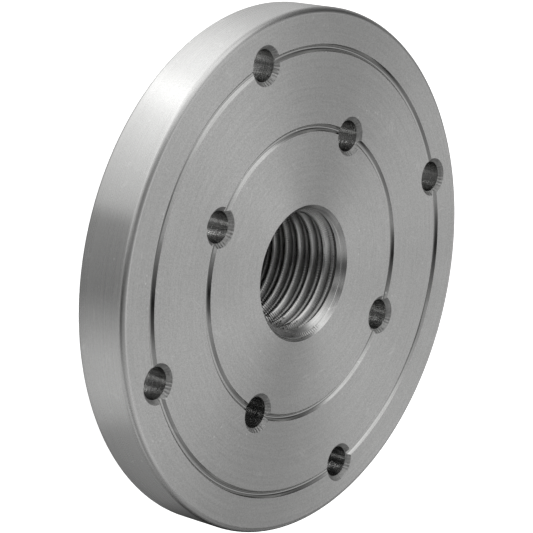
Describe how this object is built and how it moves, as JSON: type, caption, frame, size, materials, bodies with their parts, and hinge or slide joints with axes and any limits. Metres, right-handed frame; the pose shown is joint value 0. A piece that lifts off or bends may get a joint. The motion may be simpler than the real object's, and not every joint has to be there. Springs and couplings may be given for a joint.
{
  "type": "lathe faceplate",
  "caption": "Round screw-on lathe faceplate with rounded rim, scribed circles, two rings of bolt holes, a threaded spindle bore and a hub with spanner flats.",
  "frame": {"origin": "centre of the hub's end face, where the plate seats on the spindle shoulder", "axes": "+Z along the bore, out of the working face; +X through one hole of the outer ring"},
  "size_m": [0.1, 0.1, 0.0266],
  "materials": {
    "turned_steel": "brushed"
  },
  "bodies": {
    "root": {"faceplate": "turned_steel"}
  },
  "joints": []
}
